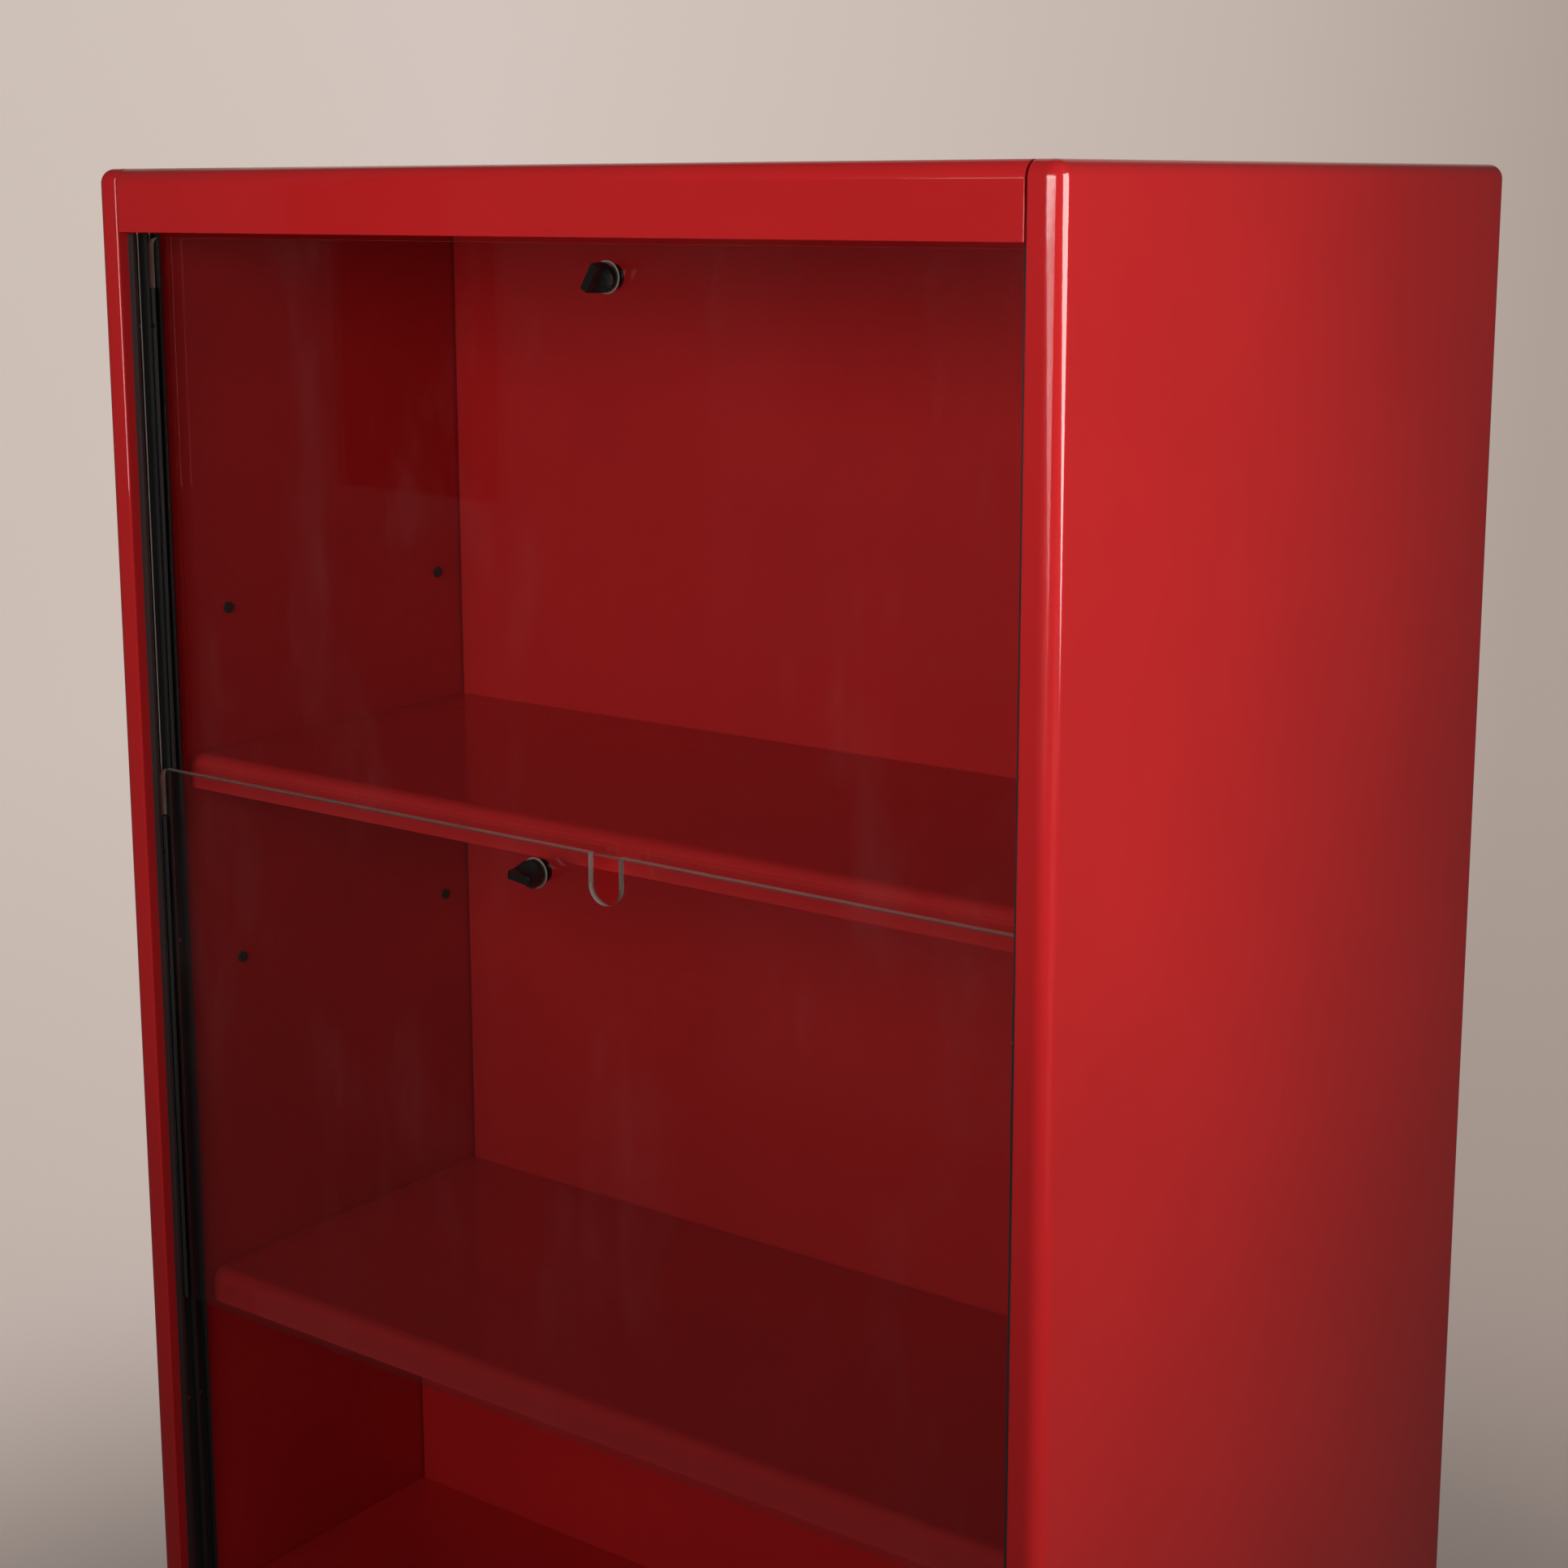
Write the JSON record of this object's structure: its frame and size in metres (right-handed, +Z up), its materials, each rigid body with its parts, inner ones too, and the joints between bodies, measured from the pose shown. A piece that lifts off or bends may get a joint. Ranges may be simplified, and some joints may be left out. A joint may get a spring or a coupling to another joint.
{
  "type": "filing cabinet",
  "caption": "Tall double-faced metal filing cabinet with three shelves and counterbalanced glass panes that slide up and down in side tracks.",
  "frame": {"origin": "centre of the footprint on the floor, under the levelling feet", "axes": "+Z up, -Y out of the front face with the two glass panes, +X to the right seen from the front"},
  "size_m": [1, 0.8, 1.82],
  "materials": {
    "red_paint": "gloss",
    "black_plastic": "satin",
    "glass": "polished",
    "knob_plastic": "gloss",
    "gasket": "matte",
    "steel": "zinc plated",
    "cable_steel": "twisted strands",
    "weight_steel": "raw bar",
    "pulley_nylon": "matte",
    "foot_plastic": "matte"
  },
  "bodies": {
    "cabinet": {"left_side_panel": "red_paint", "right_side_panel": "red_paint", "top_cover": "red_paint", "base_pan": "red_paint", "base_sills": "red_paint", "upper_shelf": "red_paint", "middle_shelf": "red_paint", "lower_shelf": "red_paint", "top_divider": "red_paint", "upper_divider": "red_paint", "lower_divider": "red_paint", "bottom_divider": "red_paint", "levelling_feet": "foot_plastic", "shelf_pins": "steel", "track_screws": "steel", "pulley_axles": "steel", "pulley_brackets": "steel", "hole_plugs": "black_plastic", "front_tracks": "black_plastic", "rear_tracks": "black_plastic", "front_upper_cables": "cable_steel", "front_lower_cables": "cable_steel", "rear_upper_cables": "cable_steel", "rear_lower_cables": "cable_steel"},
    "front_upper_pane": {"front_upper_glass": "glass", "front_upper_edge_guides": "black_plastic", "front_upper_cable_ends": "steel", "front_upper_knob_gasket": "gasket"},
    "front_upper_turn_knob": {"front_upper_knob": "knob_plastic", "front_upper_lock_disc": "knob_plastic"},
    "front_upper_weights": {"front_upper_counterweights": "weight_steel"},
    "front_upper_pulley_left": {"front_upper_left_pulley": "pulley_nylon"},
    "front_upper_pulley_right": {"front_upper_right_pulley": "pulley_nylon"},
    "front_lower_pane": {"front_lower_glass": "glass", "front_lower_edge_guides": "black_plastic", "front_lower_cable_ends": "steel", "front_lower_knob_gasket": "gasket"},
    "front_lower_turn_knob": {"front_lower_knob": "knob_plastic", "front_lower_lock_disc": "knob_plastic"},
    "front_lower_weights": {"front_lower_counterweights": "weight_steel"},
    "front_lower_pulley_left": {"front_lower_left_pulley": "pulley_nylon"},
    "front_lower_pulley_right": {"front_lower_right_pulley": "pulley_nylon"},
    "rear_upper_pane": {"rear_upper_glass": "glass", "rear_upper_edge_guides": "black_plastic", "rear_upper_cable_ends": "steel", "rear_upper_knob_gasket": "gasket"},
    "rear_upper_turn_knob": {"rear_upper_knob": "knob_plastic", "rear_upper_lock_disc": "knob_plastic"},
    "rear_upper_weights": {"rear_upper_counterweights": "weight_steel"},
    "rear_upper_pulley_left": {"rear_upper_left_pulley": "pulley_nylon"},
    "rear_upper_pulley_right": {"rear_upper_right_pulley": "pulley_nylon"},
    "rear_lower_pane": {"rear_lower_glass": "glass", "rear_lower_edge_guides": "black_plastic", "rear_lower_cable_ends": "steel", "rear_lower_knob_gasket": "gasket"},
    "rear_lower_turn_knob": {"rear_lower_knob": "knob_plastic", "rear_lower_lock_disc": "knob_plastic"},
    "rear_lower_weights": {"rear_lower_counterweights": "weight_steel"},
    "rear_lower_pulley_left": {"rear_lower_left_pulley": "pulley_nylon"},
    "rear_lower_pulley_right": {"rear_lower_right_pulley": "pulley_nylon"}
  },
  "joints": [
    {"name": "front_upper_slide", "type": "slide", "parent": "cabinet", "child": "front_upper_pane", "axis": [0, 0, 1], "range_m": [-0.488, 0], "deforming": ["front_upper_cables"]},
    {"name": "front_upper_weight_slide", "type": "slide", "parent": "cabinet", "child": "front_upper_weights", "axis": [0, 0, 1], "range_m": [0, 0.488]},
    {"name": "front_upper_left_pulley_spin", "type": "hinge", "parent": "cabinet", "child": "front_upper_pulley_left", "pos_m": [-0.4786, -0.361, 1.792], "axis": [0, 1, 0], "continuous": true},
    {"name": "front_upper_right_pulley_spin", "type": "hinge", "parent": "cabinet", "child": "front_upper_pulley_right", "pos_m": [0.4786, -0.361, 1.792], "axis": [0, 1, 0], "continuous": true},
    {"name": "front_upper_knob_turn", "type": "hinge", "parent": "front_upper_pane", "child": "front_upper_turn_knob", "pos_m": [0.074, -0.364, 1.733], "axis": [0, 1, 0], "range_deg": [0, 90]},
    {"name": "front_lower_slide", "type": "slide", "parent": "cabinet", "child": "front_lower_pane", "axis": [0, 0, 1], "range_m": [0, 0.488], "deforming": ["front_lower_cables"]},
    {"name": "front_lower_weight_slide", "type": "slide", "parent": "cabinet", "child": "front_lower_weights", "axis": [0, 0, 1], "range_m": [-0.488, 0]},
    {"name": "front_lower_left_pulley_spin", "type": "hinge", "parent": "cabinet", "child": "front_lower_pulley_left", "pos_m": [-0.4786, -0.375, 1.792], "axis": [0, 1, 0], "continuous": true},
    {"name": "front_lower_right_pulley_spin", "type": "hinge", "parent": "cabinet", "child": "front_lower_pulley_right", "pos_m": [0.4786, -0.375, 1.792], "axis": [0, 1, 0], "continuous": true},
    {"name": "front_lower_knob_turn", "type": "hinge", "parent": "front_lower_pane", "child": "front_lower_turn_knob", "pos_m": [0, -0.378, 1.245], "axis": [0, 1, 0], "range_deg": [-90, 0]},
    {"name": "rear_upper_slide", "type": "slide", "parent": "cabinet", "child": "rear_upper_pane", "axis": [0, 0, 1], "range_m": [-0.488, 0], "deforming": ["rear_upper_cables"]},
    {"name": "rear_upper_weight_slide", "type": "slide", "parent": "cabinet", "child": "rear_upper_weights", "axis": [0, 0, 1], "range_m": [0, 0.488]},
    {"name": "rear_upper_left_pulley_spin", "type": "hinge", "parent": "cabinet", "child": "rear_upper_pulley_left", "pos_m": [0.4786, 0.361, 1.792], "axis": [0, 1, 0], "continuous": true},
    {"name": "rear_upper_right_pulley_spin", "type": "hinge", "parent": "cabinet", "child": "rear_upper_pulley_right", "pos_m": [-0.4786, 0.361, 1.792], "axis": [0, 1, 0], "continuous": true},
    {"name": "rear_upper_knob_turn", "type": "hinge", "parent": "rear_upper_pane", "child": "rear_upper_turn_knob", "pos_m": [-0.074, 0.364, 1.733], "axis": [0, -1, 0], "range_deg": [0, 90]},
    {"name": "rear_lower_slide", "type": "slide", "parent": "cabinet", "child": "rear_lower_pane", "axis": [0, 0, 1], "range_m": [0, 0.488], "deforming": ["rear_lower_cables"]},
    {"name": "rear_lower_weight_slide", "type": "slide", "parent": "cabinet", "child": "rear_lower_weights", "axis": [0, 0, 1], "range_m": [-0.488, 0]},
    {"name": "rear_lower_left_pulley_spin", "type": "hinge", "parent": "cabinet", "child": "rear_lower_pulley_left", "pos_m": [0.4786, 0.375, 1.792], "axis": [0, 1, 0], "continuous": true},
    {"name": "rear_lower_right_pulley_spin", "type": "hinge", "parent": "cabinet", "child": "rear_lower_pulley_right", "pos_m": [-0.4786, 0.375, 1.792], "axis": [0, 1, 0], "continuous": true},
    {"name": "rear_lower_knob_turn", "type": "hinge", "parent": "rear_lower_pane", "child": "rear_lower_turn_knob", "pos_m": [0, 0.378, 1.245], "axis": [0, -1, 0], "range_deg": [-90, 0]}
  ],
  "couplings": [
    {"joint": "front_upper_weight_slide", "follows": "front_upper_slide", "ratio": -1},
    {"joint": "front_upper_left_pulley_spin", "follows": "front_upper_slide", "rad_per_m": -111.11},
    {"joint": "front_upper_right_pulley_spin", "follows": "front_upper_slide", "rad_per_m": 111.11},
    {"joint": "front_lower_weight_slide", "follows": "front_lower_slide", "ratio": -1},
    {"joint": "front_lower_left_pulley_spin", "follows": "front_lower_slide", "rad_per_m": -111.11},
    {"joint": "front_lower_right_pulley_spin", "follows": "front_lower_slide", "rad_per_m": 111.11},
    {"joint": "rear_upper_weight_slide", "follows": "rear_upper_slide", "ratio": -1},
    {"joint": "rear_upper_left_pulley_spin", "follows": "rear_upper_slide", "rad_per_m": 111.11},
    {"joint": "rear_upper_right_pulley_spin", "follows": "rear_upper_slide", "rad_per_m": -111.11},
    {"joint": "rear_lower_weight_slide", "follows": "rear_lower_slide", "ratio": -1},
    {"joint": "rear_lower_left_pulley_spin", "follows": "rear_lower_slide", "rad_per_m": 111.11},
    {"joint": "rear_lower_right_pulley_spin", "follows": "rear_lower_slide", "rad_per_m": -111.11}
  ]
}
